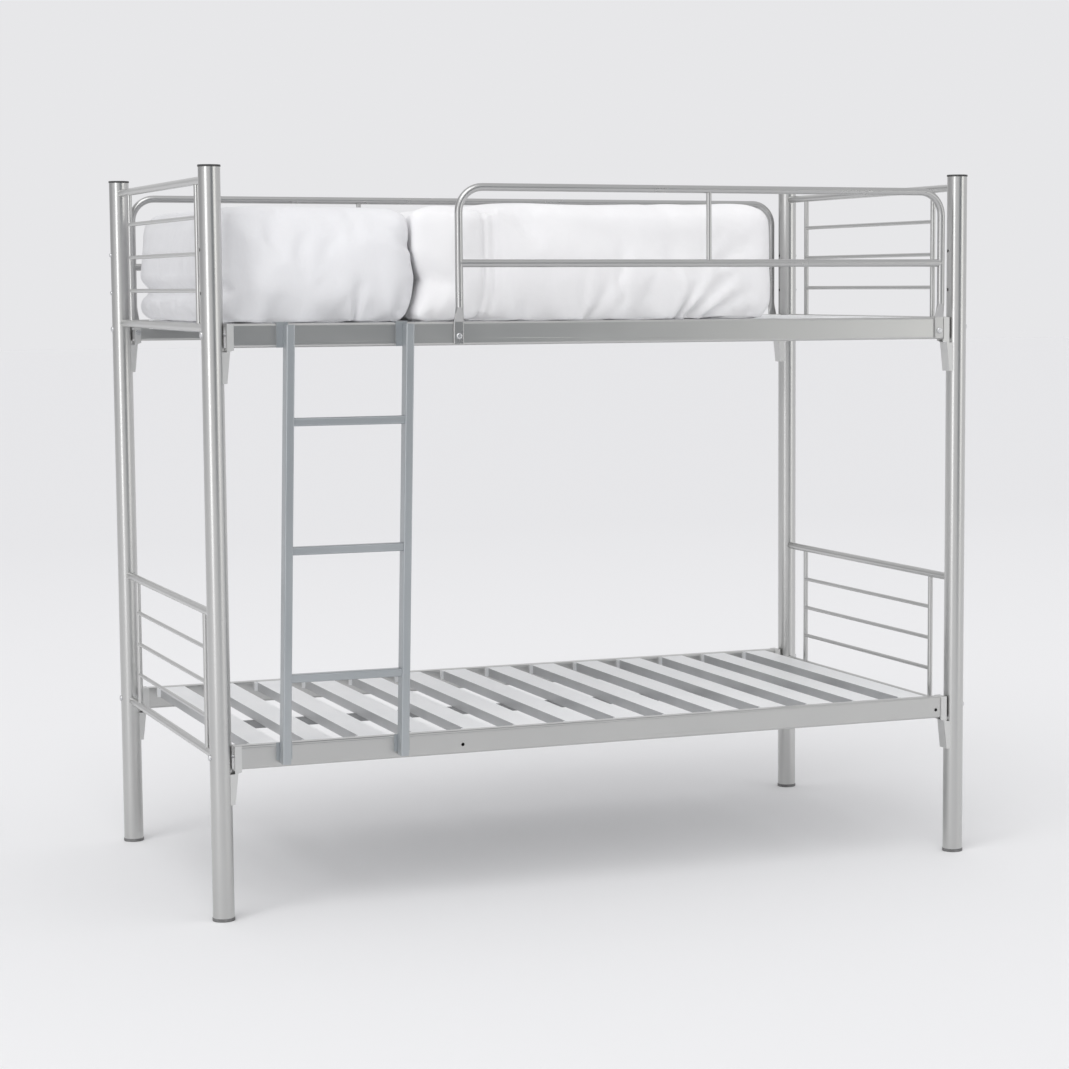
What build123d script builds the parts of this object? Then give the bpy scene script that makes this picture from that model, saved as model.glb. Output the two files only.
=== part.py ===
"""Bunk bed of round steel tube with a hook-on ladder, two slatted decks and loose bedding.

Millimetres. X runs along the bed, Y runs from the open front (-) to the back (+), Z is up.
The origin is on the floor, at the middle of the bed's outline.
"""
from build123d import *
import math
import os

os.makedirs("parts", exist_ok=True)

# ---------------------------------------------------------------- driving sizes
POST_SPACING_X = 1950.0
POST_SPACING_Y = 1000.0
BED_HEIGHT = 1760.0
POST_D = 51.0
POST_WALL = 1.2
CAP_D = 53.0
CAP_T = 5.0
CAP_EDGE_R = 1.2
FOOT_T = 8.0
PLUG_LENGTH = 20.0
PLUG_CLEARANCE = 0.1

RAIL_H = 56.0
RAIL_T = 30.0
RAIL_R = 6.0
RAIL_WALL = 1.2
RAIL_END_GAP = 30.0
RAIL_END_T = 3.0
DECK_BOTTOMS = {"lower": 357.0, "upper": 1341.0}

SLAT_COUNT = 14
SLAT_PITCH = 133.0
SLAT_W = 68.0
SLAT_H = 25.0
SLAT_WALL = 1.0
SLAT_R = 2.0
SLAT_BELOW_RAIL_TOP = 1.0
SLAT_END_GAP = 0.2
CLIP_W = 8.0
CLIP_T = 9.0
CLIP_H = 24.0
BAR_SIZE = 20.0
BAR_WALL = 1.5
BAR_R = 2.5

PANEL_TUBE_D = 19.0
SPINDLE_D = 13.0
ROD_D = 10.0
TUBE_WALL = 1.2
SPINDLE_Y = 373.0
PANEL_LEVELS = {
    "lower": (383.0, 466.5, 548.0, 631.0, 720.0),
    "upper": (1388.0, 1473.0, 1558.5, 1643.5, 1727.5),
}

BRACKET_T = 3.0
BRACKET_GAP = 0.25
BRACKET_REACH = 46.0
BRACKET_ROOT = 13.0
BRACKET_WEB_TOP = 37.0
BRACKET_WEB_FOOT = 29.0
BRACKET_SKIRT = 5.0
BRACKET_SLOT_END = 29.5
BRACKET_SLOT_DROP = 9.0
BRACKET_DROP = 82.0

BOLT_D = 8.0
BOLT_HOLE_D = 8.4
BOLT_HEAD_D = 15.0
BOLT_HEAD_H = 5.0
BOLT_DOME_R = 3.5
BOLT_ABOVE_RAIL_BOTTOM = 31.0
BOLT_RECESS = 12.0
SCREW_HEAD_D = 10.5
SCREW_HEAD_H = 4.4
SCREW_DOME_R = 2.8
SCREW_LENGTH = 16.0
BOLT_BEYOND_NUT = 2.0
SPARE_HOLE_LEVELS = (1467.0, 1566.0)

GUARD_D = 19.0
GUARD_TOP_Z = 1715.0
GUARD_MID_Z = 1535.0
GUARD_BEND_R = 60.0
GUARD_PLATE_W = 25.0
GUARD_PLATE_T = 5.0
GUARD_PLATE_R = 2.2
GUARD_PLATE_FOOT = 4.0
GUARD_FLARE = 34.0
GUARD_HOLE_ABOVE_RAIL_BOTTOM = 22.0
FRONT_GUARD_LEGS = (-383.0, 915.0)
REAR_GUARD_LEGS = (-937.0, 937.0)
REAR_RAIL_HOLES = {"lower": (), "upper": REAR_GUARD_LEGS}
FACE_GAP = 0.3
NUT_AF = 13.0
NUT_T = 6.5

STRINGER_W = 20.0
STRINGER_DEPTH = 35.0
STRINGER_R = 3.0
STRINGER_TOP_XS = {"left": -802.5, "right": -513.5}
LADDER_LEAN = 27.0
STRINGER_TOP_DROP = 3.0
STRINGER_FOOT_Z = 368.0
RUNG_LEVELS = (568.5, 868.0, 1168.5)
RUNG_H = 19.0
RUNG_DEPTH = 27.0
RUNG_R = 4.0
LADDER_WALL = 1.5
HOOK_T = 3.0
HOOK_FOLD_R = 2.7
HOOK_LIP = 28.0
HOOKS = {
    "upper": {"front": (-25.0, 3.0), "lip": (-25.0, 3.0), "drop": 56.0},
    "lower": {"front": (-17.0, 21.0), "lip": (3.0, 21.0), "drop": 38.0},
}

BEDDING_GAP = 0.4
BEDDING_HALF_DEPTH = 452.0
BEDDING = {
    "left": {"x": (-934.0, -468.0), "top": 1668.0, "round": 70.0},
    "right": {"x": (-464.0, 474.0), "top": 1682.0, "round": 62.0},
}

# ---------------------------------------------------------------- derived sizes
HALF_X = POST_SPACING_X / 2
HALF_Y = POST_SPACING_Y / 2
SIDES_X = {"left": -1, "right": 1}
SIDES_Y = {"front": -1, "rear": 1}
RAIL_END_X = HALF_X - RAIL_END_GAP
RAIL_INNER_Y = HALF_Y - RAIL_T / 2
RAIL_OUTER_Y = HALF_Y + RAIL_T / 2
FRONT_GUARD_BACK = RAIL_OUTER_Y + FACE_GAP
REAR_GUARD_BACK = RAIL_OUTER_Y + BRACKET_GAP + BRACKET_T + FACE_GAP
LADDER_BACK = RAIL_OUTER_Y + FACE_GAP + HOOK_T
DECK_TOPS = {deck: bottom + RAIL_H for deck, bottom in DECK_BOTTOMS.items()}
# The ladder reaches further out than the rear guard rail, so the posts stand behind the outline's middle.
POSTS_MIDDLE_Y = (LADDER_BACK + STRINGER_DEPTH - REAR_GUARD_BACK - GUARD_D) / 2


# ---------------------------------------------------------------- building blocks
def cylinder_between(start, end, diameter):
    """Solid round bar from one point to another."""
    axis = Vector(*end) - Vector(*start)
    plane = Plane(origin=start, z_dir=axis)
    return plane * Cylinder(diameter / 2, axis.length, align=(Align.CENTER, Align.CENTER, Align.MIN))


def tube_between(start, end, diameter, wall):
    """Round tube from one point to another."""
    return cylinder_between(start, end, diameter) - cylinder_between(start, end, diameter - 2 * wall)


def box_between(low, high):
    """Box between two opposite corners."""
    size = [b - a for a, b in zip(low, high)]
    centre = [(a + b) / 2 for a, b in zip(low, high)]
    return Pos(*centre) * Box(*size)


def save(name, shape):
    """Write one node; a list becomes one group of separate solids."""
    pieces = shape if isinstance(shape, list) else [shape]
    placed = [Pos(0, POSTS_MIDDLE_Y, 0) * piece.solid() for piece in pieces]
    node = Compound(children=placed) if isinstance(shape, list) else placed[0]
    node.label = name
    export_step(node, f"parts/{name}.step")


def post_core(x, y, diameter=POST_D):
    """Full-height cylinder where a post stands, used to shape what meets it."""
    return cylinder_between((x, y, 0), (x, y, BED_HEIGHT), diameter)


def cross_hole(x, y, z, diameter):
    """Cutter for a hole drilled through a post along X."""
    return cylinder_between((x - POST_D, y, z), (x + POST_D, y, z), diameter)


# ---------------------------------------------------------------- posts
def bolt_levels():
    """Heights of the bolts that join the side rails to the posts."""
    return [bottom + BOLT_ABOVE_RAIL_BOTTOM for bottom in DECK_BOTTOMS.values()]


def post(x, y):
    """Upright tube, drilled through for the rail bolts and for two spare heights."""
    tube = tube_between((x, y, FOOT_T), (x, y, BED_HEIGHT - CAP_T), POST_D, POST_WALL)
    for z in (*bolt_levels(), *SPARE_HOLE_LEVELS):
        tube -= cross_hole(x, y, z, BOLT_HOLE_D)
    return tube


def end_plug(x, y, face_z, plug_sign, thickness):
    """Flat round cap with a plug that fills the tube's end."""
    plug_d = POST_D - 2 * POST_WALL - 2 * PLUG_CLEARANCE
    disc = cylinder_between((x, y, face_z - plug_sign * thickness), (x, y, face_z), CAP_D)
    disc = fillet(disc.edges().filter_by(GeomType.CIRCLE), CAP_EDGE_R)
    plug = cylinder_between((x, y, face_z), (x, y, face_z + plug_sign * PLUG_LENGTH), plug_d)
    return disc + plug


def make_posts():
    for side_x, sx in SIDES_X.items():
        for side_y, sy in SIDES_Y.items():
            x, y = sx * HALF_X, sy * HALF_Y
            corner = f"{side_y}_{side_x}"
            save(f"post_{corner}", post(x, y))
            save(f"post_cap_{corner}", end_plug(x, y, BED_HEIGHT - CAP_T, -1, CAP_T))
            save(f"post_foot_{corner}", end_plug(x, y, FOOT_T, 1, FOOT_T))


# ---------------------------------------------------------------- end panels
def make_panel(name, x, levels):
    """Ladder-like end panel: two rails, two spindles and three thin rods between them."""
    bottom_z, *rod_levels, top_z = levels
    cores = [post_core(x, sy * HALF_Y) for sy in SIDES_Y.values()]
    rail_cores = {}
    for edge, z in (("bottom", bottom_z), ("top", top_z)):
        ends = ((x, -HALF_Y, z), (x, HALF_Y, z))
        rail_cores[edge] = cylinder_between(*ends, PANEL_TUBE_D)
        rail = tube_between(*ends, PANEL_TUBE_D, TUBE_WALL)
        for core in cores:
            rail -= core
        middle = rail.solids().sort_by(lambda s: abs(s.center().Y))[0]
        save(f"{name}_{edge}_rail", middle)

    spindles = []
    spindle_cores = []
    for sy in SIDES_Y.values():
        ends = ((x, sy * SPINDLE_Y, bottom_z), (x, sy * SPINDLE_Y, top_z))
        spindle = tube_between(*ends, SPINDLE_D, TUBE_WALL)
        for core in rail_cores.values():
            spindle -= core
        spindles.append(spindle)
        spindle_cores.append(cylinder_between(*ends, SPINDLE_D))
    save(f"{name}_spindles", spindles)

    rods = []
    for z in rod_levels:
        rod = cylinder_between((x, -SPINDLE_Y, z), (x, SPINDLE_Y, z), ROD_D)
        for core in spindle_cores:
            rod -= core
        rods.append(rod)
    save(f"{name}_rods", rods)


def make_panels():
    for side, sx in SIDES_X.items():
        for deck, levels in PANEL_LEVELS.items():
            make_panel(f"{deck}_{side}_panel", sx * HALF_X, levels)


# ---------------------------------------------------------------- decks
def hole_along_y(x, y, z):
    """Cutter for a bolt hole right through a side rail and what is fixed to it."""
    return cylinder_between((x, y - RAIL_T, z), (x, y + RAIL_T, z), BOLT_HOLE_D)


def side_rail(sy, bottom, guard_holes):
    """Rectangular side rail with closed, tapped ends, drilled where a guard rail can be bolted on."""
    y = sy * HALF_Y
    centre = Plane(origin=(-RAIL_END_X, y, bottom + RAIL_H / 2), x_dir=(0, 1, 0), z_dir=(1, 0, 0))
    outline = RectangleRounded(RAIL_T, RAIL_H, RAIL_R)
    inside = RectangleRounded(RAIL_T - 2 * RAIL_WALL, RAIL_H - 2 * RAIL_WALL, RAIL_R - RAIL_WALL)
    rail = extrude(centre * outline, 2 * RAIL_END_X)
    hollow = extrude(centre.offset(RAIL_END_T) * inside, 2 * (RAIL_END_X - RAIL_END_T))
    rail -= hollow
    bolt_z = bottom + BOLT_ABOVE_RAIL_BOTTOM
    rail -= cylinder_between((-HALF_X, y, bolt_z), (HALF_X, y, bolt_z), BOLT_D)
    for x in guard_holes:
        rail -= hole_along_y(x, y, bottom + GUARD_HOLE_ABOVE_RAIL_BOTTOM)
    return rail


def slat(x, top):
    """Folded channel, open below, from one side rail to the other."""
    length = 2 * (RAIL_INNER_Y - SLAT_END_GAP)
    plane = Plane(origin=(x, -length / 2, top - SLAT_H / 2), x_dir=(-1, 0, 0), z_dir=(0, 1, 0))
    rounded = RectangleRounded(SLAT_W, SLAT_H, SLAT_R)
    lower_half = Pos(0, -SLAT_H / 4) * Rectangle(SLAT_W, SLAT_H / 2)
    hollow = Pos(0, -SLAT_WALL) * Rectangle(SLAT_W - 2 * SLAT_WALL, SLAT_H)
    return extrude(plane * (rounded + lower_half - hollow), length)


def slat_centres():
    """X positions of the slats, evenly spaced about the middle."""
    return [(index - (SLAT_COUNT - 1) / 2) * SLAT_PITCH for index in range(SLAT_COUNT)]


def slat_clip(x, sy, top):
    """Small clip on a rail's inner face that locates one slat's end."""
    inner = sy * RAIL_INNER_Y
    left = x - SLAT_W / 2 - CLIP_W
    faces = sorted((inner, inner - sy * CLIP_T))
    return box_between((left, faces[0], top - CLIP_H), (left + CLIP_W, faces[1], top))


def corner_bracket(sx, sy, bottom, guard_holes):
    """Channel welded to a post below the rail: it holds the rail's end just clear of the post."""
    x, y = sx * HALF_X, sy * HALF_Y
    top = bottom + RAIL_H
    skirt = bottom - BRACKET_SKIRT
    slot = bottom - BRACKET_SLOT_DROP
    foot = bottom - BRACKET_DROP
    flange_points = [
        (BRACKET_REACH, top),
        (BRACKET_SLOT_END, top),
        (BRACKET_SLOT_END, slot),
        (BRACKET_ROOT, slot),
        (BRACKET_ROOT, foot),
        (BRACKET_WEB_FOOT, foot),
        (BRACKET_WEB_TOP, skirt - BRACKET_T),
        (BRACKET_REACH, skirt),
    ]
    web_points = [
        (BRACKET_WEB_FOOT, foot),
        (BRACKET_WEB_TOP, skirt - BRACKET_T),
        (BRACKET_WEB_TOP - BRACKET_T, skirt - BRACKET_T),
        (BRACKET_WEB_FOOT - BRACKET_T, foot),
    ]
    inner = RAIL_T / 2 + BRACKET_GAP
    outer = inner + BRACKET_T
    side_view = Plane(origin=(x, y, 0), x_dir=(-sx, 0, 0), z_dir=(0, sx, 0))
    flange_face = make_face(Polyline(*flange_points, close=True))
    web_face = make_face(Polyline(*web_points, close=True))
    web = extrude(side_view.offset(-outer) * web_face, 2 * outer)
    near = extrude(side_view.offset(inner) * flange_face, BRACKET_T)
    far = extrude(side_view.offset(-outer) * flange_face, BRACKET_T)
    bracket = web + near + far - post_core(x, y)
    for guard_x in guard_holes:
        bracket -= hole_along_y(guard_x, y, bottom + GUARD_HOLE_ABOVE_RAIL_BOTTOM)
    return bracket


def centre_bar(top):
    """Square tube under the slats, from the first slat to the last."""
    end = slat_centres()[-1]
    plane = Plane(origin=(-end, 0, top - BAR_SIZE / 2), x_dir=(0, 1, 0), z_dir=(1, 0, 0))
    inner = BAR_SIZE - 2 * BAR_WALL
    section = RectangleRounded(BAR_SIZE, BAR_SIZE, BAR_R)
    section -= RectangleRounded(inner, inner, BAR_R - BAR_WALL)
    return extrude(plane * section, 2 * end)


def make_deck(deck, bottom):
    top = bottom + RAIL_H
    slat_top = top - SLAT_BELOW_RAIL_TOP
    save(f"{deck}_front_rail", side_rail(-1, bottom, FRONT_GUARD_LEGS))
    save(f"{deck}_rear_rail", side_rail(1, bottom, REAR_RAIL_HOLES[deck]))
    save(f"{deck}_slats", [slat(x, slat_top) for x in slat_centres()])
    clips = [slat_clip(x, sy, slat_top) for x in slat_centres() for sy in SIDES_Y.values()]
    save(f"{deck}_slat_clips", clips)

    save(f"{deck}_centre_bar", centre_bar(slat_top - SLAT_H))
    bracket_holes = {-1: (), 1: REAR_RAIL_HOLES[deck]}
    corners = [(sx, sy) for sx in SIDES_X.values() for sy in SIDES_Y.values()]
    brackets = [corner_bracket(sx, sy, bottom, bracket_holes[sy]) for sx, sy in corners]
    save(f"{deck}_corner_brackets", brackets)


def domed_head(plane, diameter, height, dome_r):
    """Low round bolt head standing on a plane."""
    head = plane * Cylinder(diameter / 2, height, align=(Align.CENTER, Align.CENTER, Align.MIN))
    rims = head.edges().filter_by(GeomType.CIRCLE)
    top_rim = rims.sort_by(lambda edge: (edge.center() - plane.origin).length)[-1]
    return fillet(top_rim, dome_r)


def bolt_in_post(sx, sy, z, tip_x, head_sizes):
    """Bolt that enters a post from its outer side, with its head seated on the round tube."""
    x, y = sx * HALF_X, sy * HALF_Y
    seat = math.sqrt((POST_D / 2) ** 2 - (head_sizes[0] / 2) ** 2)
    shank = cylinder_between((sx * tip_x, y, z), (x + sx * POST_D / 2, y, z), BOLT_D)
    head = domed_head(Plane(origin=(x + sx * seat, y, z), z_dir=(sx, 0, 0)), *head_sizes)
    return shank + (head - post_core(x, y))


def rail_bolt(sx, sy, z):
    """Bolt through a post into the tapped end of a side rail."""
    return bolt_in_post(sx, sy, z, RAIL_END_X - BOLT_RECESS, (BOLT_HEAD_D, BOLT_HEAD_H, BOLT_DOME_R))


def spare_screw(sx, z):
    """Short screw that fills a rear post's spare hole."""
    tip_x = HALF_X + POST_D / 2 - SCREW_LENGTH
    return bolt_in_post(sx, 1, z, tip_x, (SCREW_HEAD_D, SCREW_HEAD_H, SCREW_DOME_R))


def make_post_bolts():
    corners = [(sx, sy) for sx in SIDES_X.values() for sy in SIDES_Y.values()]
    bolts = [rail_bolt(sx, sy, z) for sx, sy in corners for z in bolt_levels()]
    screws = [spare_screw(sx, z) for sx in SIDES_X.values() for z in SPARE_HOLE_LEVELS]
    save("post_bolts", bolts + screws)


# ---------------------------------------------------------------- guard rails
def guard_frame(legs, y, plate_y):
    """One tube bent into an upside-down U whose feet are flattened and drilled."""
    left, right = legs
    flat_top = DECK_TOPS["upper"]
    round_z = flat_top + GUARD_FLARE
    foot_z = DECK_BOTTOMS["upper"] + GUARD_PLATE_FOOT
    path = FilletPolyline(
        (left, y, round_z),
        (left, y, GUARD_TOP_Z),
        (right, y, GUARD_TOP_Z),
        (right, y, round_z),
        radius=GUARD_BEND_R,
    )
    start = Plane(origin=(left, y, round_z), z_dir=(0, 0, 1))
    ring = Circle(GUARD_D / 2) - Circle(GUARD_D / 2 - TUBE_WALL)
    frame = sweep(start * ring, path=path)
    plate_height = flat_top - foot_z
    plate_outline = RectangleRounded(GUARD_PLATE_W, GUARD_PLATE_T, GUARD_PLATE_R)
    for x in legs:
        circle = Plane(origin=(x, y, round_z)) * Circle(GUARD_D / 2)
        flat = Plane(origin=(x, plate_y, flat_top)) * plate_outline
        flare = loft([flat.face(), circle.face()])
        plate = extrude(Plane(origin=(x, plate_y, foot_z)) * plate_outline, plate_height)
        bolt_z = DECK_BOTTOMS["upper"] + GUARD_HOLE_ABOVE_RAIL_BOTTOM
        hole = cylinder_between((x, y - GUARD_D, bolt_z), (x, y + GUARD_D, bolt_z), BOLT_HOLE_D)
        frame += flare + plate - hole
    return frame


def guard_bolt(x, plate_outer, inner_y):
    """Bolt through a flattened guard leg and the side rail."""
    out = 1 if plate_outer > 0 else -1
    z = DECK_BOTTOMS["upper"] + GUARD_HOLE_ABOVE_RAIL_BOTTOM
    tip_y = inner_y - out * (NUT_T + BOLT_BEYOND_NUT)
    shank = cylinder_between((x, tip_y, z), (x, plate_outer, z), BOLT_D)
    seat = Plane(origin=(x, plate_outer, z), z_dir=(0, out, 0))
    return shank + domed_head(seat, BOLT_HEAD_D, BOLT_HEAD_H, BOLT_DOME_R)


def guard_nut(x, inner_y, out):
    """Hexagon nut behind the side rail."""
    z = DECK_BOTTOMS["upper"] + GUARD_HOLE_ABOVE_RAIL_BOTTOM
    plane = Plane(origin=(x, inner_y, z), z_dir=(0, -out, 0))
    hexagon = RegularPolygon(NUT_AF / 2, 6, major_radius=False) - Circle(BOLT_D / 2)
    return extrude(plane * hexagon, NUT_T)


def make_guard(name, legs, spindle_xs, sy, plate_inner, nut_seat):
    """Guard frame, its middle tube, its spindles, and the bolts and nuts that hold it."""
    plate_y = sy * (plate_inner + GUARD_PLATE_T / 2)
    y = sy * (plate_inner + GUARD_D / 2)
    save(f"{name}_frame", guard_frame(legs, y, plate_y))

    leg_cores = [cylinder_between((x, y, DECK_TOPS["upper"]), (x, y, GUARD_TOP_Z), GUARD_D) for x in legs]
    middle_ends = ((legs[0], y, GUARD_MID_Z), (legs[1], y, GUARD_MID_Z))
    middle = tube_between(*middle_ends, GUARD_D, TUBE_WALL)
    for core in leg_cores:
        middle -= core
    save(f"{name}_middle_tube", middle.solids().sort_by(lambda s: s.volume)[-1])

    top_core = cylinder_between((legs[0], y, GUARD_TOP_Z), (legs[1], y, GUARD_TOP_Z), GUARD_D)
    middle_core = cylinder_between(*middle_ends, GUARD_D)
    spindles = [
        tube_between((x, y, GUARD_MID_Z), (x, y, GUARD_TOP_Z), SPINDLE_D, TUBE_WALL) - top_core - middle_core
        for x in spindle_xs
    ]
    save(f"{name}_spindle" if len(spindles) == 1 else f"{name}_spindles", spindles)

    plate_outer = sy * (plate_inner + GUARD_PLATE_T)
    bolts = [guard_bolt(x, plate_outer, sy * nut_seat) for x in legs]
    nuts = [guard_nut(x, sy * nut_seat, sy) for x in legs]
    return bolts, nuts


def make_guards():
    front_middle = sum(FRONT_GUARD_LEGS) / 2
    rear_third = (REAR_GUARD_LEGS[1] - REAR_GUARD_LEGS[0]) / 6
    rear_spindles = [-rear_third, rear_third]
    rear_nut_seat = RAIL_INNER_Y - BRACKET_GAP - BRACKET_T
    bolts, nuts = make_guard(
        "front_guard", FRONT_GUARD_LEGS, [front_middle], -1, FRONT_GUARD_BACK, RAIL_INNER_Y
    )
    more_bolts, more_nuts = make_guard(
        "rear_guard", REAR_GUARD_LEGS, rear_spindles, 1, REAR_GUARD_BACK, rear_nut_seat
    )
    save("guard_bolts", bolts + more_bolts)
    save("guard_nuts", nuts + more_nuts)


# ---------------------------------------------------------------- ladder
def stringer_x(side, z):
    """Middle of a stringer at a height: the ladder hangs slightly out of plumb."""
    top = DECK_TOPS["upper"]
    share = (top - z) / (top - STRINGER_FOOT_Z)
    return STRINGER_TOP_XS[side] - LADDER_LEAN * share


def stringer_solid(side, inset=0.0):
    """Leaning rectangular bar; an inset makes the hollow inside it."""
    middle_y = -(LADDER_BACK + STRINGER_DEPTH / 2)
    width = STRINGER_W - 2 * inset
    depth = STRINGER_DEPTH - 2 * inset
    section = RectangleRounded(width, depth, STRINGER_R - inset)
    top_z = DECK_TOPS["upper"] - STRINGER_TOP_DROP
    levels = (STRINGER_FOOT_Z + inset, top_z - inset)
    faces = [(Pos(stringer_x(side, z), middle_y, z) * section).face() for z in levels]
    return loft(faces)


def stringer(side):
    return stringer_solid(side) - stringer_solid(side, LADDER_WALL)


def rung(z):
    """Tread tube between the two stringers."""
    y = -(LADDER_BACK + STRINGER_DEPTH / 2)
    left = stringer_x("left", z)
    length = stringer_x("right", z) - left
    plane = Plane(origin=(left, y, z), x_dir=(0, 1, 0), z_dir=(1, 0, 0))
    inner_h = RUNG_H - 2 * LADDER_WALL
    inner_d = RUNG_DEPTH - 2 * LADDER_WALL
    section = RectangleRounded(RUNG_DEPTH, RUNG_H, RUNG_R)
    section -= RectangleRounded(inner_d, inner_h, RUNG_R - LADDER_WALL)
    bar = extrude(plane * section, length)
    return bar - stringer_solid("left") - stringer_solid("right")


def hook(side, deck):
    """Strap folded over a side rail, welded to the back of a stringer."""
    sizes = HOOKS[deck]
    top = DECK_TOPS[deck]
    front_foot = top - sizes["drop"]
    x = stringer_x(side, (top + front_foot) / 2)
    front_x = [x + offset for offset in sizes["front"]]
    lip_x = [x + offset for offset in sizes["lip"]]
    inner_y = -(RAIL_INNER_Y - FACE_GAP)
    strap_foot = top + FACE_GAP
    strap_top = strap_foot + HOOK_T
    front = box_between(
        (front_x[0], -LADDER_BACK, front_foot), (front_x[1], HOOK_T - LADDER_BACK, strap_top)
    )
    over = box_between((lip_x[0], -LADDER_BACK, strap_foot), (lip_x[1], inner_y, strap_top))
    lip = box_between((lip_x[0], inner_y, top - HOOK_LIP), (lip_x[1], inner_y + HOOK_T, strap_top))
    strap = front + over + lip
    back_fold = strap.edges().filter_by(Axis.X).sort_by(lambda edge: edge.center().Y + edge.center().Z)[-1]
    return fillet(back_fold, HOOK_FOLD_R)


def make_ladder():
    for side in STRINGER_TOP_XS:
        save(f"ladder_stringer_{side}", stringer(side))
        for deck in HOOKS:
            save(f"ladder_hook_{deck}_{side}", hook(side, deck))
    for number, z in enumerate(RUNG_LEVELS, start=1):
        save(f"ladder_rung_{number}", rung(z))


# ---------------------------------------------------------------- bedding
def make_bedding():
    for side, shape in BEDDING.items():
        low_x, high_x = shape["x"]
        bottom = DECK_TOPS["upper"] + BEDDING_GAP
        block = box_between(
            (low_x, -BEDDING_HALF_DEPTH, bottom),
            (high_x, BEDDING_HALF_DEPTH, shape["top"]),
        )
        save(f"bedding_{side}", fillet(block.edges(), shape["round"]))


def main():
    make_posts()
    make_panels()
    for deck, bottom in DECK_BOTTOMS.items():
        make_deck(deck, bottom)
    make_post_bolts()
    make_guards()
    make_ladder()
    make_bedding()


main()
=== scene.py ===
import bmesh
import bpy
import math
import numpy as np
from mathutils import Matrix, Vector, noise


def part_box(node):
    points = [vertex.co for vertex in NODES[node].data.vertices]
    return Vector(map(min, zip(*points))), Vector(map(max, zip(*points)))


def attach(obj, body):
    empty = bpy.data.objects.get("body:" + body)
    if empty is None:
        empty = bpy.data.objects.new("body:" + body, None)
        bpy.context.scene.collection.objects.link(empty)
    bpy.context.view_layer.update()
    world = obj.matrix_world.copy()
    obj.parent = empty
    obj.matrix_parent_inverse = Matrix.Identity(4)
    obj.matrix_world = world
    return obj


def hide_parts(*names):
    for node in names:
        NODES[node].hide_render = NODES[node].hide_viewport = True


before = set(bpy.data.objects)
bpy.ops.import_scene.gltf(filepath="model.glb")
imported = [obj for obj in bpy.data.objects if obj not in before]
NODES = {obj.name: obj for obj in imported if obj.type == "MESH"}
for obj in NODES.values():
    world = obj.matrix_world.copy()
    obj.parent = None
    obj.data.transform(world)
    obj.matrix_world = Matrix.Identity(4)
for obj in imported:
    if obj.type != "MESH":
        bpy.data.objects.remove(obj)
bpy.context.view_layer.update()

# The bunk bed: its hard parts get their paint, its two bedding blocks become padded quilts,
# and it stands on a pale floor in soft light, seen by one camera.
bpy.context.scene.view_settings.view_transform = "Standard"

# The camera stands left of the bed's front, a little above its upper deck.
CAMERA_PLACE = (-2.4412, -6.5587, 1.4767)
CAMERA_YAW, CAMERA_PITCH, CAMERA_ROLL = 22.555, 5.698, -0.25
CAMERA_SENSOR, CAMERA_LENS = 36.0, 89.95
CAMERA_SHIFT = (-0.095, 0.018)

# Floor, in metres. Its colour fades from pale under the bed to greyer at both far ends.
FLOOR_HALF = 60.0
FLOOR_FRONT, FLOOR_FADED = -10.0, 9.0
FLOOR_PALE, FLOOR_GREY = (0.88, 0.88, 0.888), (0.81, 0.81, 0.82)
FLOOR_CELLS = 8
FLOOR_SHADES = [(0.0, FLOOR_GREY), (0.25, FLOOR_PALE), (0.553, FLOOR_PALE), (1.0, FLOOR_GREY)]

# The room around the bed: its shade, and patches as (direction, inner and outer angle, shade).
ROOM_SHADE = (0.76, 0.76, 0.77)
ROOM_PATCHES = [
    ((0.25, -0.97, 0.0), 11, 23, (0.1, 0.12, 0.138)),
    ((-0.78, 0.62, 0.0), 15, 45, (0.42, 0.42, 0.43)),
    ((0.62, -0.785, 0.03), 7, 15, (1.95, 1.94, 1.89)),
]
BACKDROP_SHADE = (0.8, 0.8, 0.815)

DAYLIGHT = {"energy": 1.0, "spread": 50, "place": (-2.3, -3.2, 5.3), "target": (0.0, 0.0, 0.8)}
WINDOW = {"energy": 82.0, "size": (2.1, 4.4), "place": (-8.0, -5.8, 2.2), "target": (0.0, 0.0, 1.0)}

# Silver paints: light shade, dark shade, metallic, roughness.
LADDER_PAINT = ((0.44, 0.465, 0.482), (0.385, 0.41, 0.427), 0.75, 0.36)
BRACKET_PAINT = ((0.66, 0.66, 0.65), (0.63, 0.632, 0.625), 0.8, 0.42)
# The centre bar's silver is much darker than the frame's: painted shade under the slats.
BAR_PAINT_WITH_PAINTED_SHADE = ((0.34, 0.345, 0.35), (0.3, 0.305, 0.31), 0.6, 0.45)
CLIP_PAINT = ((0.86, 0.87, 0.88), (0.78, 0.79, 0.8), 0.1, 0.4)
GUARD_PAINT = ((0.5, 0.5, 0.497), (0.475, 0.475, 0.472), 1.0, 0.28)
FRAME_PAINT = ((0.56, 0.56, 0.55), (0.535, 0.537, 0.53), 1.0, 0.29)
CAP_LIGHTNESS, FOOT_LIGHTNESS = 1.0, 3.2
PLASTIC_SHADES = ((0.35, 0.036), (0.6, 0.06), (0.8, 0.1))
ZINC_SHADES = [(0.3, (0.5, 0.51, 0.53)), (0.7, (0.82, 0.82, 0.82))]
# Slat colours: the tops, then the sides and insides, which are darker as painted shade.
SLAT_TOP_SHADES = [(0.3, (0.88, 0.89, 0.9)), (0.7, (0.93, 0.935, 0.94))]
SLAT_SIDE_PAINTED_SHADE = [(0.3, (0.39, 0.397, 0.404)), (0.7, (0.48, 0.487, 0.494))]

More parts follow.
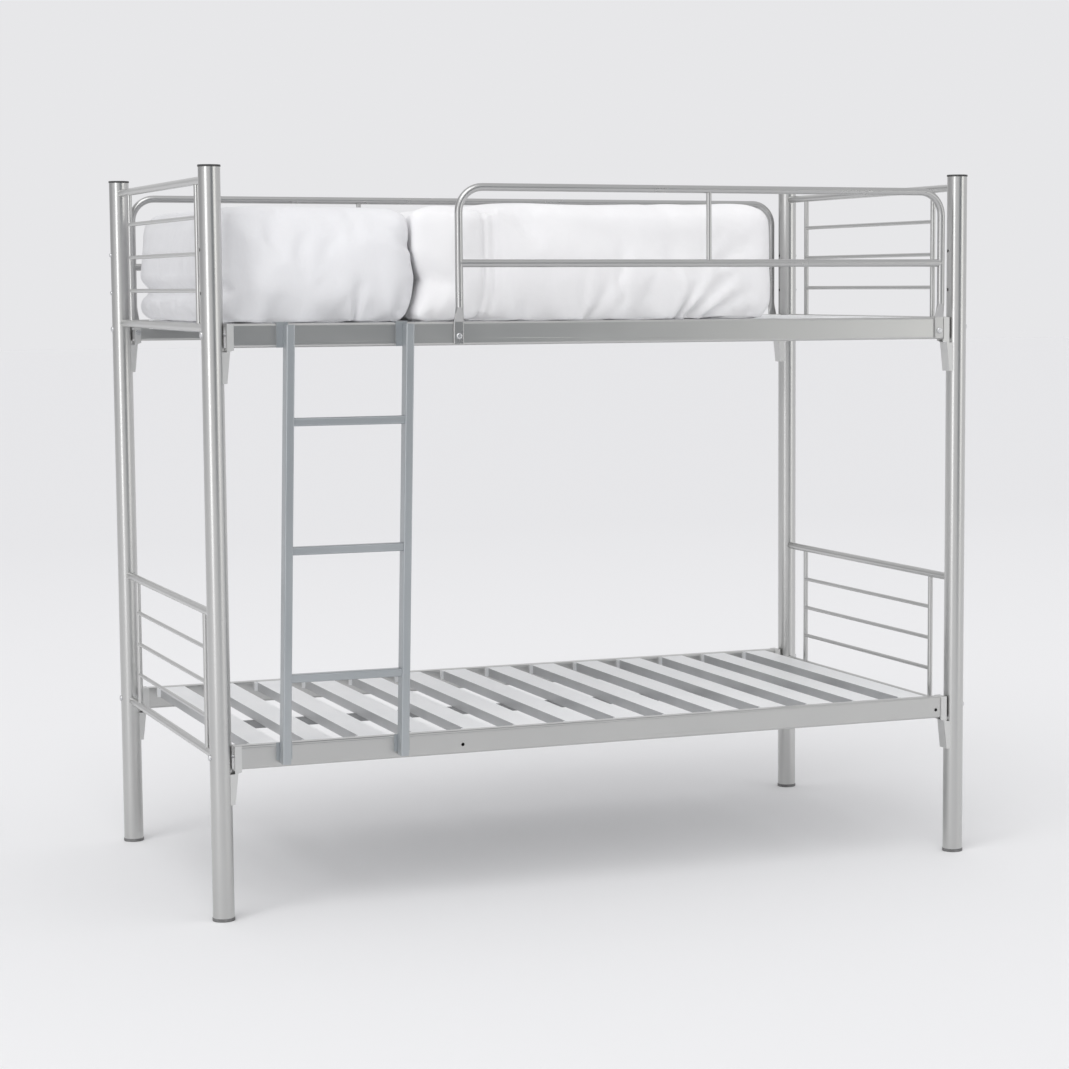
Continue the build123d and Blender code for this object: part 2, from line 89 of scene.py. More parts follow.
# Noise in the materials, as (scale, detail, roughness), and the range most of its values lie in.
PAINT_CLOUDS, PAINT_SMEARS = (4.0, 2.0, 0.5), (9.0, 2.0, 0.4)
PAINT_GRAIN, PAINT_PEEL = (1500.0, 2.0, 0.5), (140.0, 1.0, 0.5)
SLAT_CLOUDS = (6.0, 3.0, 0.5)
PLASTIC_SCUFFS, PLASTIC_SPARK = (60.0, 6.0, 0.7), (2200.0, 3.0, 0.5)
ZINC_MARKS = (900.0, 4.0, 0.7)
COTTON_CLOUDS, COTTON_FOLDS, COTTON_CRUMPLES = (3.5, 4.0, 0.5), (11.0, 3.0, 0.5), (42.0, 4.0, 0.55)
NOISE_RANGE = (0.3, 0.7)
PAINT_RANGE = (0.25, 0.75)

# The cotton's threads: how close together they lie, and how unevenly.
THREAD_SCALE, THREAD_WANDER = 210.0, 0.6

# Relief, as (strength, height in metres).
GRAIN_RELIEF, PEEL_RELIEF, SLAT_RELIEF = (0.05, 0.00002), (0.02, 0.00004), (0.08, 0.00006)
SPARK_RELIEF, ZINC_RELIEF = (0.3, 0.0002), (0.2, 0.0002)
FOLD_RELIEF, CRUMPLE_RELIEF, THREAD_RELIEF = (0.35, 0.012), (0.25, 0.003), (0.12, 0.0004)

# Gloss: each roughness from its smoothest to its dullest spots; the paint's is added to its own.
PAINT_UNEVENNESS = (-0.01, 0.02)
SLAT_GLOSS, PLASTIC_GLOSS, ZINC_GLOSS = (0.36, 0.42), (0.45, 0.62), (0.2, 0.38)

# Shader values that are the same all over a surface.
CLEAR_COAT = {"Coat Weight": 0.25, "Coat Roughness": 0.2}
SLAT_FINISH = {"Metallic": 0.15}
ZINC_FINISH = {"Metallic": 1.0}
COTTON_FINISH = {
    "Roughness": 0.88, "Sheen Weight": 0.25, "Sheen Roughness": 0.5, "Specular IOR Level": 0.25,
}
FLOOR_FINISH = {"Roughness": 0.9, "Specular IOR Level": 0.1}


# ---------------------------------------------------------------- camera, floor and light
def make_camera():
    """The view from the ladder's end, at about the height of the upper deck."""
    data = bpy.data.cameras.new("camera")
    data.sensor_width = CAMERA_SENSOR
    data.lens = CAMERA_LENS
    data.shift_x, data.shift_y = CAMERA_SHIFT
    camera = bpy.data.objects.new("camera", data)
    bpy.context.scene.collection.objects.link(camera)
    yaw, pitch, roll = (math.radians(angle) for angle in (CAMERA_YAW, CAMERA_PITCH, CAMERA_ROLL))
    turn = Matrix.Rotation(-yaw, 4, "Z") @ Matrix.Rotation(math.pi / 2 - pitch, 4, "X")
    turn = turn @ Matrix.Rotation(roll, 4, "Z")
    camera.matrix_world = Matrix.Translation(CAMERA_PLACE) @ turn
    bpy.context.scene.camera = camera


def make_floor():
    """Wide pale floor under the feet, a little greyer far from the bed."""
    mesh = bpy.data.meshes.new("floor")
    shape = bmesh.new()
    bmesh.ops.create_grid(shape, x_segments=FLOOR_CELLS, y_segments=FLOOR_CELLS, size=FLOOR_HALF)
    for vert in shape.verts:
        vert.co.y = max(vert.co.y, FLOOR_FRONT)
    bmesh.ops.remove_doubles(shape, verts=shape.verts, dist=1e-5)
    shape.to_mesh(mesh)
    shape.free()
    floor = bpy.data.objects.new("floor", mesh)
    bpy.context.scene.collection.objects.link(floor)
    tree, shader = new_material(floor, "floor_paint")
    place = tree.nodes.new("ShaderNodeSeparateXYZ")
    tree.links.new(tree.nodes.new("ShaderNodeTexCoord").outputs["Object"], place.inputs["Vector"])
    depth = tree.nodes.new("ShaderNodeMapRange")
    depth.inputs["From Min"].default_value = FLOOR_FRONT
    depth.inputs["From Max"].default_value = FLOOR_FADED
    tree.links.new(place.outputs["Y"], depth.inputs["Value"])
    shade = ramp_node(tree, depth.outputs["Result"], FLOOR_SHADES)
    tree.links.new(shade.outputs["Color"], shader.inputs["Base Color"])
    set_finish(shader, FLOOR_FINISH)


def world_patch(tree, direction, facing, before, inner, outer, shade):
    """Fades the room's brightness to another value around one direction."""
    dot = tree.nodes.new("ShaderNodeVectorMath")
    dot.operation = "DOT_PRODUCT"
    dot.inputs[1].default_value = Vector(facing).normalized()
    tree.links.new(direction, dot.inputs[0])
    fade = tree.nodes.new("ShaderNodeMapRange")
    fade.interpolation_type = "SMOOTHSTEP"
    fade.inputs["From Min"].default_value = math.cos(math.radians(outer))
    fade.inputs["From Max"].default_value = math.cos(math.radians(inner))
    tree.links.new(dot.outputs["Value"], fade.inputs["Value"])
    mix = tree.nodes.new("ShaderNodeMix")
    mix.data_type = "RGBA"
    mix.inputs["B"].default_value = (*shade, 1.0)
    tree.links.new(fade.outputs["Result"], mix.inputs["Factor"])
    if isinstance(before, tuple):
        mix.inputs["A"].default_value = (*before, 1.0)
    else:
        tree.links.new(before, mix.inputs["A"])
    return mix.outputs["Result"]


def make_world():
    """Soft white room with dim and bright patches, so that the tubes show their roundness."""
    world = bpy.data.worlds.new("room")
    bpy.context.scene.world = world
    world.use_nodes = True
    tree = world.node_tree
    room = tree.nodes["Background"]
    direction = tree.nodes.new("ShaderNodeTexCoord").outputs["Generated"]
    shade = ROOM_SHADE
    for facing, inner, outer, patch_shade in ROOM_PATCHES:
        shade = world_patch(tree, direction, facing, shade, inner, outer, patch_shade)
    tree.links.new(shade, room.inputs["Color"])
    backdrop = tree.nodes.new("ShaderNodeBackground")
    backdrop.inputs["Color"].default_value = (*BACKDROP_SHADE, 1.0)
    switch = tree.nodes.new("ShaderNodeMixShader")
    ray = tree.nodes.new("ShaderNodeLightPath")
    tree.links.new(ray.outputs["Is Camera Ray"], switch.inputs["Fac"])
    tree.links.new(room.outputs["Background"], switch.inputs[1])
    tree.links.new(backdrop.outputs["Background"], switch.inputs[2])
    tree.links.new(switch.outputs["Shader"], tree.nodes["World Output"].inputs["Surface"])


def add_lamp(name, data, place, target):
    """Puts a lamp in the room, turned to a point and hidden from the camera itself."""
    lamp = bpy.data.objects.new(name, data)
    bpy.context.scene.collection.objects.link(lamp)
    lamp.location = place
    lamp.rotation_mode = "QUATERNION"
    lamp.rotation_quaternion = (Vector(target) - Vector(place)).to_track_quat("-Z", "Y")
    lamp.visible_camera = False


def make_lights():
    """Daylight from the left front, and a tall soft window beside it for the tubes' highlights."""
    daylight = bpy.data.lights.new("daylight", "SUN")
    daylight.energy = DAYLIGHT["energy"]
    daylight.angle = math.radians(DAYLIGHT["spread"])
    add_lamp("daylight", daylight, DAYLIGHT["place"], DAYLIGHT["target"])
    window = bpy.data.lights.new("window", "AREA")
    window.shape = "RECTANGLE"
    window.size, window.size_y = WINDOW["size"]
    window.energy = WINDOW["energy"]
    add_lamp("window", window, WINDOW["place"], WINDOW["target"])


# ---------------------------------------------------------------- materials
def new_material(piece, name):
    """Gives a piece a fresh material; returns its node tree and main shader."""
    material = bpy.data.materials.new(name)
    material.use_nodes = True
    piece.data.materials.clear()
    piece.data.materials.append(material)
    return material.node_tree, material.node_tree.nodes["Principled BSDF"]


def set_finish(shader, finish):
    """Sets the shader values that are the same all over a surface."""
    for socket, value in finish.items():
        shader.inputs[socket].default_value = value


def noise_node(tree, scale, detail, rough):
    """Noise that sticks to the piece."""
    coords = tree.nodes.new("ShaderNodeTexCoord")
    texture = tree.nodes.new("ShaderNodeTexNoise")
    texture.inputs["Scale"].default_value = scale
    texture.inputs["Detail"].default_value = detail
    texture.inputs["Roughness"].default_value = rough
    tree.links.new(coords.outputs["Object"], texture.inputs["Vector"])
    return texture


def ramp_node(tree, source, stops):
    """Colour ramp fed by a value; stops are (position, colour)."""
    ramp = tree.nodes.new("ShaderNodeValToRGB")
    elements = ramp.color_ramp.elements
    for element, (position, colour) in zip(elements, (stops[0], stops[-1])):
        element.position = position
        element.color = (*colour, 1.0)
    for position, colour in stops[1:-1]:
        element = elements.new(position)
        element.color = (*colour, 1.0)
    tree.links.new(source, ramp.inputs["Fac"])
    return ramp


def range_node(tree, source, low, high):
    """Maps the noise's usual range on to low to high."""
    mapping = tree.nodes.new("ShaderNodeMapRange")
    mapping.inputs["From Min"].default_value = NOISE_RANGE[0]
    mapping.inputs["From Max"].default_value = NOISE_RANGE[1]
    mapping.inputs["To Min"].default_value = low
    mapping.inputs["To Max"].default_value = high
    tree.links.new(source, mapping.inputs["Value"])
    return mapping


def bump_node(tree, shader, heights):
    """Chains bumps; heights are (value socket, strength, distance in metres)."""
    normal = None
    for value, strength, distance in heights:
        bump = tree.nodes.new("ShaderNodeBump")
        bump.inputs["Strength"].default_value = strength
        bump.inputs["Distance"].default_value = distance
        tree.links.new(value, bump.inputs["Height"])
        if normal is not None:
            tree.links.new(normal, bump.inputs["Normal"])
        normal = bump.outputs["Normal"]
    tree.links.new(normal, shader.inputs["Normal"])


def metal_paint(piece, name, light, dark, metallic, rough):
    """Silver powder coat: fine grain, faint clouds and slightly uneven gloss under a clear coat."""
    tree, shader = new_material(piece, name)
    clouds = noise_node(tree, *PAINT_CLOUDS)
    colour = ramp_node(tree, clouds.outputs["Fac"], list(zip(PAINT_RANGE, (dark, light))))
    tree.links.new(colour.outputs["Color"], shader.inputs["Base Color"])
    smears = noise_node(tree, *PAINT_SMEARS)
    gloss = range_node(tree, smears.outputs["Fac"], *(rough + step for step in PAINT_UNEVENNESS))
    tree.links.new(gloss.outputs["Result"], shader.inputs["Roughness"])
    set_finish(shader, {"Metallic": metallic, **CLEAR_COAT})
    grain = noise_node(tree, *PAINT_GRAIN)
    peel = noise_node(tree, *PAINT_PEEL)
    relief = [(grain.outputs["Fac"], *GRAIN_RELIEF), (peel.outputs["Fac"], *PEEL_RELIEF)]
    bump_node(tree, shader, relief)


def slat_paint_with_painted_shade(piece, name):
    """Folded slat: bright coat on top, with painted shade that darkens its sides and inside."""
    tree, shader = new_material(piece, name)
    clouds = noise_node(tree, *SLAT_CLOUDS)
    top = ramp_node(tree, clouds.outputs["Fac"], SLAT_TOP_SHADES)
    # The sides and inside are darker: painted shade, picked by which way each face points.
    side = ramp_node(tree, clouds.outputs["Fac"], SLAT_SIDE_PAINTED_SHADE)
    facing = tree.nodes.new("ShaderNodeSeparateXYZ")
    coords = tree.nodes.new("ShaderNodeTexCoord")
    tree.links.new(coords.outputs["Normal"], facing.inputs["Vector"])
    painted_shade_by_facing = range_node(tree, facing.outputs["Z"], 0.0, 1.0)
    colour = tree.nodes.new("ShaderNodeMix")
    colour.data_type = "RGBA"
    tree.links.new(painted_shade_by_facing.outputs["Result"], colour.inputs["Factor"])
    tree.links.new(side.outputs["Color"], colour.inputs["A"])
    tree.links.new(top.outputs["Color"], colour.inputs["B"])
    tree.links.new(colour.outputs["Result"], shader.inputs["Base Color"])
    gloss = range_node(tree, clouds.outputs["Fac"], *SLAT_GLOSS)
    tree.links.new(gloss.outputs["Result"], shader.inputs["Roughness"])
    set_finish(shader, SLAT_FINISH)
    grain = noise_node(tree, *PAINT_GRAIN)
    bump_node(tree, shader, [(grain.outputs["Fac"], *SLAT_RELIEF)])


def dark_plastic(piece, name, lighter):
    """Moulded end cap with a fine spark texture and scuffs."""
    tree, shader = new_material(piece, name)
    scuffs = noise_node(tree, *PLASTIC_SCUFFS)
    stops = [(place, (shade * lighter,) * 3) for place, shade in PLASTIC_SHADES]
    colour = ramp_node(tree, scuffs.outputs["Fac"], stops)
    tree.links.new(colour.outputs["Color"], shader.inputs["Base Color"])
    gloss = range_node(tree, scuffs.outputs["Fac"], *PLASTIC_GLOSS)
    tree.links.new(gloss.outputs["Result"], shader.inputs["Roughness"])
    spark = noise_node(tree, *PLASTIC_SPARK)
    bump_node(tree, shader, [(spark.outputs["Fac"], *SPARK_RELIEF)])


def zinc_steel(piece, name):
    """Zinc-plated fastener with fine turning marks."""
    tree, shader = new_material(piece, name)
    marks = noise_node(tree, *ZINC_MARKS)
    colour = ramp_node(tree, marks.outputs["Fac"], ZINC_SHADES)
    tree.links.new(colour.outputs["Color"], shader.inputs["Base Color"])
    gloss = range_node(tree, marks.outputs["Fac"], *ZINC_GLOSS)
    tree.links.new(gloss.outputs["Result"], shader.inputs["Roughness"])
    set_finish(shader, ZINC_FINISH)
    bump_node(tree, shader, [(marks.outputs["Fac"], *ZINC_RELIEF)])


def bed_cotton(piece, name, light, dark):
    """White woven cotton: crossed threads, soft crumple and slightly uneven whiteness."""
    tree, shader = new_material(piece, name)
    clouds = noise_node(tree, *COTTON_CLOUDS)
    colour = ramp_node(tree, clouds.outputs["Fac"], list(zip(NOISE_RANGE, (dark, light))))
    tree.links.new(colour.outputs["Color"], shader.inputs["Base Color"])
    set_finish(shader, COTTON_FINISH)
    coords = tree.nodes.new("ShaderNodeTexCoord")
    threads = []
    for axis in ("X", "Y", "Z"):
        wave = tree.nodes.new("ShaderNodeTexWave")
        wave.bands_direction = axis
        wave.inputs["Scale"].default_value = THREAD_SCALE
        wave.inputs["Distortion"].default_value = THREAD_WANDER
        tree.links.new(coords.outputs["Object"], wave.inputs["Vector"])
        threads.append((wave.outputs["Fac"], *THREAD_RELIEF))
    crumples = noise_node(tree, *COTTON_CRUMPLES)
    folds = noise_node(tree, *COTTON_FOLDS)
    creases = [(folds.outputs["Fac"], *FOLD_RELIEF), (crumples.outputs["Fac"], *CRUMPLE_RELIEF)]
    bump_node(tree, shader, creases + threads)


def paint_cad_nodes():
    """Gives every hard CAD piece its paint, plastic or plating."""
    for name, piece in NODES.items():
        if name.startswith("bedding"):
            continue
        if name.startswith("post_cap"):
            dark_plastic(piece, f"{name}_plastic", CAP_LIGHTNESS)
        elif name.startswith("post_foot"):
            dark_plastic(piece, f"{name}_plastic", FOOT_LIGHTNESS)
        elif name in ("post_bolts", "guard_bolts", "guard_nuts"):
            zinc_steel(piece, f"{name}_zinc")
        elif name.endswith("_slats"):
            # The slats' sides get painted shade.
            slat_paint_with_painted_shade(piece, f"{name}_paint")
        elif name.endswith("_centre_bar"):
            # The centre bar's darker colour is painted shade.
            metal_paint(piece, f"{name}_paint", *BAR_PAINT_WITH_PAINTED_SHADE)
        elif name.endswith("_slat_clips"):
            metal_paint(piece, f"{name}_paint", *CLIP_PAINT)
        elif name.startswith("ladder"):
            metal_paint(piece, f"{name}_paint", *LADDER_PAINT)
        elif name.endswith("_corner_brackets"):
            metal_paint(piece, f"{name}_paint", *BRACKET_PAINT)
        elif "guard" in name:
            metal_paint(piece, f"{name}_paint", *GUARD_PAINT)
        else:
            metal_paint(piece, f"{name}_paint", *FRAME_PAINT)


# ---------------------------------------------------------------- bedding
# "folds" and "seams" run through (share of the width, share of the height) of the quilt's box, and
# a fold is (path, depth, width).
# "lean" moves the edge that faces the other quilt: (height above the deck, shift along the bed).
# "rounds" are the corners' radii at the low and high X ends. "free_end" moves the outer end, which
# may swell by "end_room", and "end_fold" is the share of the height at which that end is folded in
# two. Lengths are in metres.
QUILTS = {
    "left": {
        "rounds": {"top_low": 0.04, "top_high": 0.02, "foot_low": 0.03, "foot_high": 0.025},
        "join_side": 1.0,
        "free_end": -0.012,
        "end_room": 0.022,
        "lean": [
            (0.0, -0.011), (0.058, 0.0055), (0.1, 0.011),
            (0.135, 0.001), (0.17, -0.008), (0.25, -0.011),
        ],
        "seams": [],
        "folds": [
            ([(0.694, 0.02), (0.699, 0.2), (0.713, 0.36)], 0.009, 0.008),
            ([(0.93, 0.1), (0.955, 0.25), (0.99, 0.4)], 0.01, 0.018),
            ([(0.97, 0.66), (0.9, 0.76), (0.77, 0.9)], 0.007, 0.014),
            ([(0.283, 0.02), (0.312, 0.2), (0.378, 0.45)], 0.004, 0.03),
            ([(0.094, 0.1), (0.142, 0.4), (0.17, 0.7)], 0.006, 0.028),
        ],
        "end_fold": 0.25,
    },
    "right": {
        "rounds": {"top_low": 0.025, "top_high": 0.045, "foot_low": 0.02, "foot_high": 0.042},
        "join_side": -1.0,
        "free_end": 0.03,
        "end_room": 0.034,
        "lean": [
            (0.0, -0.011), (0.058, 0.012), (0.1, 0.023),
            (0.135, 0.008), (0.17, -0.002), (0.26, -0.007),
        ],
        "seams": [[(0.181, 0.0), (0.195, 0.18), (0.2, 0.36), (0.2, 1.0)]],
        "folds": [
            ([(0.481, 0.02), (0.502, 0.12), (0.522, 0.26), (0.538, 0.4)], 0.008, 0.013),
            ([(0.737, 0.02), (0.764, 0.17), (0.805, 0.34)], 0.012, 0.01),
            ([(0.766, 0.02), (0.825, 0.2), (0.897, 0.38)], 0.012, 0.011),
            ([(0.821, 0.015), (0.887, 0.13), (0.954, 0.27)], 0.009, 0.012),
            ([(0.311, 0.03), (0.332, 0.2), (0.383, 0.4)], 0.004, 0.03),
            ([(0.599, 0.03), (0.64, 0.2), (0.692, 0.34)], 0.004, 0.026),
            ([(0.05, 0.06), (0.08, 0.3), (0.1, 0.6)], 0.005, 0.024),
            ([(0.866, 0.5), (0.928, 0.64), (0.974, 0.8)], 0.005, 0.02),
        ],
        "end_fold": None,
    },
}
QUILT_SHADES = {
    "left": ((0.82, 0.82, 0.838), (0.77, 0.77, 0.788)),
    "right": ((0.93, 0.925, 0.935), (0.89, 0.885, 0.895)),
}
# In metres: how much smaller the block is than its box, its mesh size, how far its cover may swell
# sideways and upwards, and how near the deck a point counts as lying on it.
QUILT_INSET = (0.004, 0.012, 0.016)
QUILT_VOXEL = 0.014
QUILT_ROOM_Y, QUILT_ROOM_Z = 0.01, 0.012
DECK_CONTACT = 0.008
BLOCK_CUTS = 40

# Cloth simulation: its steps, how far a point may move, and the cover's stiffness and spare size.
SIM_FRAMES = 20
SIM_REACH = 0.018
SIM_PRESSURE = 4.0
SIM_QUALITY = 6
COVER_STIFFNESS = {"tension": 30.0, "compression": 20.0, "shear": 8.0, "bending": 0.3}
COVER_SPARE = -0.03
HELD_FIRMLY, HELD_LOOSELY = 1.0, 0.5

# Seams: two grooves beside a seam's line, as (depth, width) in the block and in the finished cover,
# and how near the line the simulation holds the cloth.
SEAM_HALF_GAP = 0.011
SEAM_STEEPEST = 0.8
BLOCK_SEAM = (0.006, 0.012)
COVER_SEAM = (0.005, 0.005)
SEAM_HELD = 0.018

# The outer end's fold: its depth, its height as a share of the quilt's, and its reach inwards.
END_FOLD_DEPTH, END_FOLD_HEIGHT, END_FOLD_REACH = 0.036, 0.045, 0.05

# Folds: how quickly they fade off the quilt's side and at their upper end, how they widen upwards,
# and the raised bank along each groove, as (share of the groove's depth, distance in widths).
FOLD_SIDE_GAIN = 1.6
FOLD_END = 1.02
FOLD_WIDTH_FOOT, FOLD_WIDENING = 0.7, 0.8
FOLD_BANK = (0.45, 2.1)

# The lean at the join reaches over a third of the left quilt and a fifth of the right one.
LEFT_PARTS, RIGHT_PARTS = 3.0, 5.0

# Uneven filling, as (noise scale, height in metres): broad swells, lumps, and gathers at the foot.
SWELL, LUMPS, GATHERS = (4.5, 0.005), (13.0, 0.0022), (24.0, 0.0028)
GATHER_SCALE_UP = 5.0
GATHERS_FADE = 1.15
LUMPS_OFFSET = Vector((7.0, 0.0, 0.0))


def link_mesh(name, mesh):
    """Puts a mesh in the scene, shaded smooth."""
    for polygon in mesh.polygons:
        polygon.use_smooth = True
    piece = bpy.data.objects.new(name, mesh)
    bpy.context.scene.collection.objects.link(piece)
    return piece


def points_of(mesh):
    """Vertex positions as rows."""
    points = np.empty(len(mesh.vertices) * 3)
    mesh.vertices.foreach_get("co", points)
    return points.reshape(-1, 3)


def normals_of(mesh):
    """Vertex normals as rows."""
    normals = np.empty(len(mesh.vertices) * 3)
    mesh.vertices.foreach_get("normal", normals)
    return normals.reshape(-1, 3)


def set_points(mesh, points):
    """Moves the vertices to the given rows."""
    mesh.vertices.foreach_set("co", np.asarray(points, dtype=float).ravel())
    mesh.update()


def blend(share):
    """Smooth step from 0 to 1 as the share goes from -0.5 to 0.5."""
    step = np.clip(share + 0.5, 0.0, 1.0)
    return step * step * (3.0 - 2.0 * step)


def rounded_block(name, low, high, rounds):
    """Closed block with soft edges, which differ between top and foot, and between the ends."""
    shape = bmesh.new()
    bmesh.ops.create_cube(shape, size=2.0)
    bmesh.ops.subdivide_edges(shape, edges=shape.edges, cuts=BLOCK_CUTS, use_grid_fill=True)
    mesh = bpy.data.meshes.new(name)
    shape.to_mesh(mesh)
    shape.free()
    centre, half = (low + high) / 2, (high - low) / 2
    unit = points_of(mesh)
    far, up = blend(unit[:, 0]), blend(unit[:, 2])
    top = rounds["top_low"] * (1.0 - far) + rounds["top_high"] * far
    foot = rounds["foot_low"] * (1.0 - far) + rounds["foot_high"] * far
    radius = (foot * (1.0 - up) + top * up)[:, None]
    box_point = unit * half
    core = np.clip(box_point, radius - half, half - radius)
    outward = box_point - core
    length = np.linalg.norm(outward, axis=1)[:, None]
    set_points(mesh, centre + core + radius * outward / np.maximum(length, 1e-6))
    return link_mesh(name, mesh)


def apply_modifiers(piece):
    """Replaces a piece's mesh with what its modifiers make of it."""
    graph = bpy.context.evaluated_depsgraph_get()
    made = bpy.data.meshes.new_from_object(piece.evaluated_get(graph))
    piece.modifiers.clear()
    piece.data = made


def distance_to_path(points, path):
    """Distance to a polyline in the X-Z plane, and how far along it the nearest point lies."""
    flat = points[:, [0, 2]]
    nearest = np.full(len(flat), 1e9)
    along = np.zeros(len(flat))
    for number, (start, end) in enumerate(zip(path[:-1], path[1:])):
        start, end = np.array(start), np.array(end)
        run = end - start
        share = np.clip((flat - start) @ run / (run @ run), 0.0, 1.0)
        distance = np.linalg.norm(flat - start - share[:, None] * run, axis=1)
        closer = distance < nearest
        nearest = np.where(closer, distance, nearest)
        along = np.where(closer, (number + share) / (len(path) - 1), along)
    return nearest, along


def in_box(path, low, high):
    """A path given in shares of a box, in metres."""
    return [(low[0] + u * (high[0] - low[0]), low[2] + v * (high[2] - low[2])) for u, v in path]


def press_seams(points, normals, seams, low, high, depth, width):
    """Sewn line that runs up the front, over the top and down the back."""
    for seam in seams:
        path = np.array(in_box(seam, low, high))
        middle = np.interp(points[:, 2], path[:, 1], path[:, 0])
        offset = points[:, 0] - middle
        on_skin = np.abs(normals[:, 0]) < SEAM_STEEPEST
        pull = np.exp(-((np.abs(offset) - SEAM_HALF_GAP) / width) ** 2) * on_skin
        points -= normals * (depth * pull)[:, None]
    return points


def press_folds(points, normals, folds, low, high, side):
    """Creases that start at the foot of one side and die out upwards."""
    facing = np.clip(side * normals[:, 1] * FOLD_SIDE_GAIN, 0.0, 1.0)
    for path, depth, base_width in folds:
        distance, along = distance_to_path(points, in_box(path, low, high))
        fade = np.sqrt(np.clip(FOLD_END - along, 0.0, 1.0)) * facing
        width = base_width * (FOLD_WIDTH_FOOT + FOLD_WIDENING * along)
        groove = np.exp(-((distance / width) ** 2))
        bank = FOLD_BANK[0] * np.exp(-(((distance - FOLD_BANK[1] * width) / width) ** 2))
        points += normals * (depth * fade * (bank - groove))[:, None]
    return points


def crumple(points, normals, low, high):
    """Uneven filling, and shallow gathers that are stronger near the foot."""
    height = (points[:, 2] - low[2]) / (high[2] - low[2])
    amounts = []
    for point, share in zip(points, height):
        swell = noise.noise(Vector(point) * SWELL[0]) * SWELL[1]
        lumps = noise.noise(Vector(point) * LUMPS[0] + LUMPS_OFFSET) * LUMPS[1]
        across = Vector((point[0] * GATHERS[0], point[1] * GATHERS[0], point[2] * GATHER_SCALE_UP))
        amounts.append(swell + lumps + noise.noise(across) * GATHERS[1] * (GATHERS_FADE - share))
    return points + normals * np.array(amounts)[:, None]


def inflate(piece, held):
    """Cloth simulation: the cover is a little too large, and its filling pushes it out."""
    group = piece.vertex_groups.new(name="held")
    for weight in (HELD_LOOSELY, HELD_FIRMLY):
        group.add([int(index) for index in np.nonzero(held == weight)[0]], weight, "REPLACE")
    before = points_of(piece.data)
    cloth = piece.modifiers.new("cover", "CLOTH")
    cloth.settings.quality = SIM_QUALITY
    cloth.settings.tension_stiffness = COVER_STIFFNESS["tension"]
    cloth.settings.compression_stiffness = COVER_STIFFNESS["compression"]
    cloth.settings.shear_stiffness = COVER_STIFFNESS["shear"]
    cloth.settings.bending_stiffness = COVER_STIFFNESS["bending"]
    cloth.settings.use_pressure = True
    cloth.settings.uniform_pressure_force = SIM_PRESSURE
    cloth.settings.shrink_min = COVER_SPARE
    cloth.settings.vertex_group_mass = "held"
    cloth.settings.effector_weights.gravity = 0.0
    cloth.collision_settings.use_collision = False
    cloth.point_cache.frame_start = 1
    cloth.point_cache.frame_end = SIM_FRAMES
    scene = bpy.context.scene
    for number in range(1, SIM_FRAMES + 1):
        scene.frame_set(number)
    apply_modifiers(piece)
    scene.frame_set(1)
    moved = points_of(piece.data) - before
    length = np.maximum(np.linalg.norm(moved, axis=1), 1e-9)[:, None]
    set_points(piece.data, before + moved * SIM_REACH * np.tanh(length / SIM_REACH) / length)
    piece.vertex_groups.clear()


def join_shift(points, low, lean):
    """How far the edge between the quilts is shifted along the bed at each point's height."""
    levels, shifts = zip(*lean)
    return np.interp(points[:, 2] - low[2], levels, shifts)


def bend_join(points, low, high, facts):
    """Bends the side that faces the other quilt along their shared edge."""
    share = (points[:, 0] - low[0]) / (high[0] - low[0])
    if facts["join_side"] > 0:
        near = share * LEFT_PARTS - (LEFT_PARTS - 1.0)
    else:
        near = 1.0 - share * RIGHT_PARTS
    points[:, 0] += join_shift(points, low, facts["lean"]) * np.clip(near, 0.0, 1.0)
    return points


def press_end(points, low, high, level):
    """Horizontal fold that divides the quilt's outer end into two layers."""
    if level is None:
        return points
    height = (points[:, 2] - low[2]) / (high[2] - low[2]) - level
    near = np.exp(-np.maximum(points[:, 0] - low[0], 0.0) / END_FOLD_REACH)
    points[:, 0] += END_FOLD_DEPTH * near * np.exp(-((height / END_FOLD_HEIGHT) ** 2))
    return points


def keep_inside(points, low, high, facts):
    """Keeps a quilt on the deck, between the guard rails, and on its own side of the join."""
    join = join_shift(points, low, facts["lean"])
    if facts["join_side"] > 0:
        points[:, 0] = np.clip(points[:, 0], low[0] - facts["end_room"], high[0] + join)
    else:
        points[:, 0] = np.clip(points[:, 0], low[0] + join, high[0] + facts["end_room"])
    points[:, 1] = np.clip(points[:, 1], low[1] - QUILT_ROOM_Y, high[1] + QUILT_ROOM_Y)
    points[:, 2] = np.clip(points[:, 2], low[2], high[2] + QUILT_ROOM_Z)
    return points


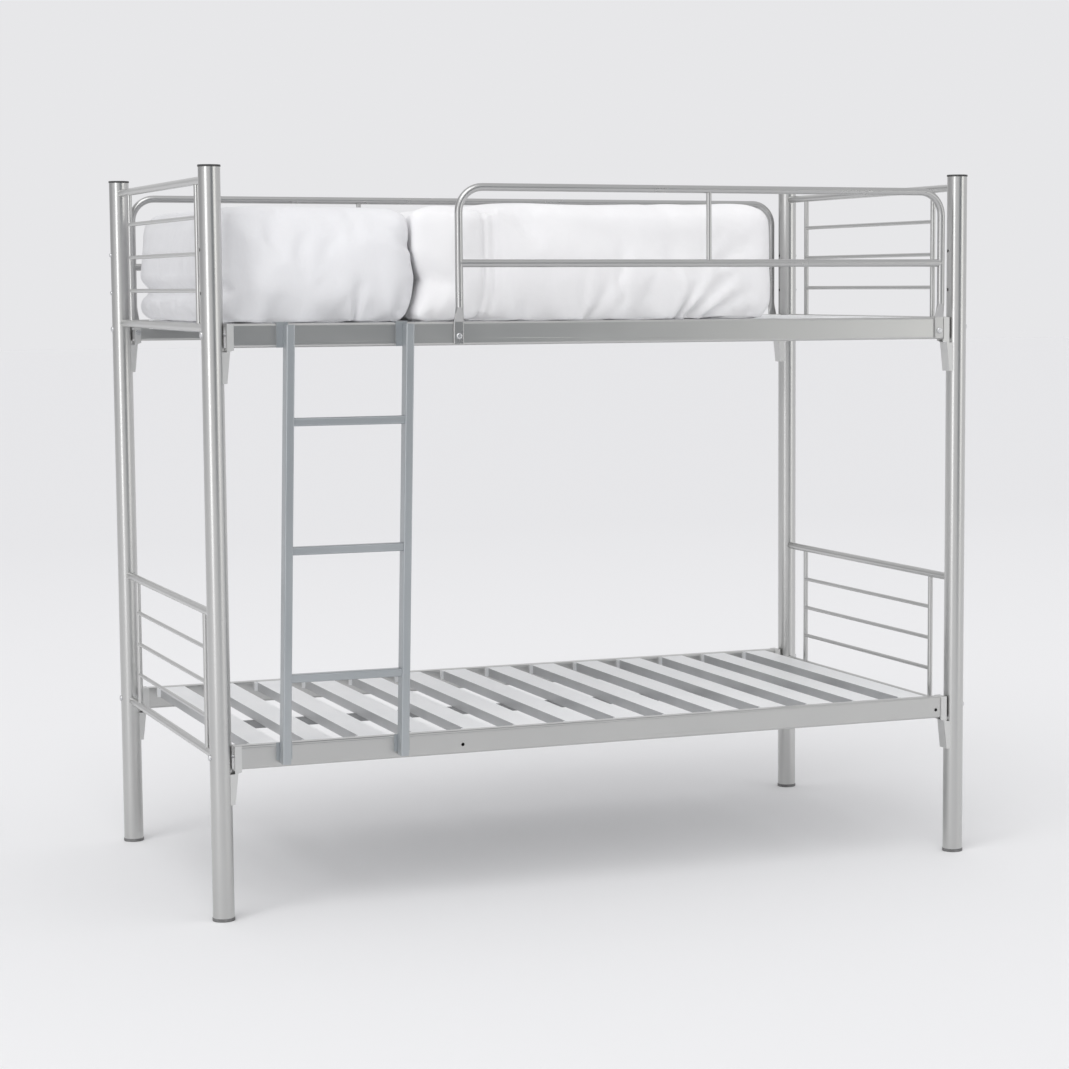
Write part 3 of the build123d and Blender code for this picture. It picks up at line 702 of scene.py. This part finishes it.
def held_points(points, seams, low, high):
    """Weights for the simulation: firm where the quilt lies on the deck, looser along its seams."""
    held = np.where(points[:, 2] < low[2] + DECK_CONTACT, HELD_FIRMLY, 0.0)
    for seam in seams:
        path = np.array(in_box(seam, low, high))
        offset = np.abs(points[:, 0] - np.interp(points[:, 2], path[:, 1], path[:, 0]))
        held = np.where((offset < SEAM_HELD) & (held == 0.0), HELD_LOOSELY, held)
    return held


def cover_block(side, facts, low, high):
    """The quilt's body: block, even mesh, join and seams, inflated cover, and a finer mesh."""
    inset = np.array(QUILT_INSET)
    top_inset = np.array((QUILT_INSET[0], QUILT_INSET[1], 0.0))
    free_end = np.array((facts["free_end"], 0.0, 0.0))
    block_low = low + top_inset - np.maximum(-free_end, 0.0)
    block_high = high - inset + np.maximum(free_end, 0.0)
    quilt = rounded_block(f"quilt_{side}", block_low, block_high, facts["rounds"])
    remesh = quilt.modifiers.new("even", "REMESH")
    remesh.mode = "VOXEL"
    remesh.voxel_size = QUILT_VOXEL
    apply_modifiers(quilt)
    points = bend_join(points_of(quilt.data), low, high, facts)
    points = press_end(points, low, high, facts["end_fold"])
    points = press_seams(points, normals_of(quilt.data), facts["seams"], low, high, *BLOCK_SEAM)
    set_points(quilt.data, points)
    inflate(quilt, held_points(points, facts["seams"], low, high))
    smoother = quilt.modifiers.new("fine", "SUBSURF")
    smoother.levels = smoother.render_levels = 1
    apply_modifiers(quilt)
    return quilt


def make_quilt(side):
    """One padded bedding piece: its body, then the folds, the seams' lines and the crumples."""
    facts = QUILTS[side]
    low, high = (np.array(corner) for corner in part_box(f"bedding_{side}"))
    quilt = cover_block(side, facts, low, high)
    mesh = quilt.data
    for face in (-1, 1):
        points = press_folds(points_of(mesh), normals_of(mesh), facts["folds"], low, high, face)
        set_points(mesh, points)
    points = press_seams(points_of(mesh), normals_of(mesh), facts["seams"], low, high, *COVER_SEAM)
    set_points(mesh, points)
    points = crumple(points_of(mesh), normals_of(mesh), low, high)
    set_points(mesh, keep_inside(points, low, high, facts))
    for polygon in mesh.polygons:
        polygon.use_smooth = True
    bed_cotton(quilt, f"quilt_{side}_cotton", *QUILT_SHADES[side])
    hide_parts(f"bedding_{side}")
    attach(quilt, f"bedding_{side}")


make_camera()
make_floor()
make_world()
make_lights()
paint_cad_nodes()
for quilt_side in QUILTS:
    make_quilt(quilt_side)
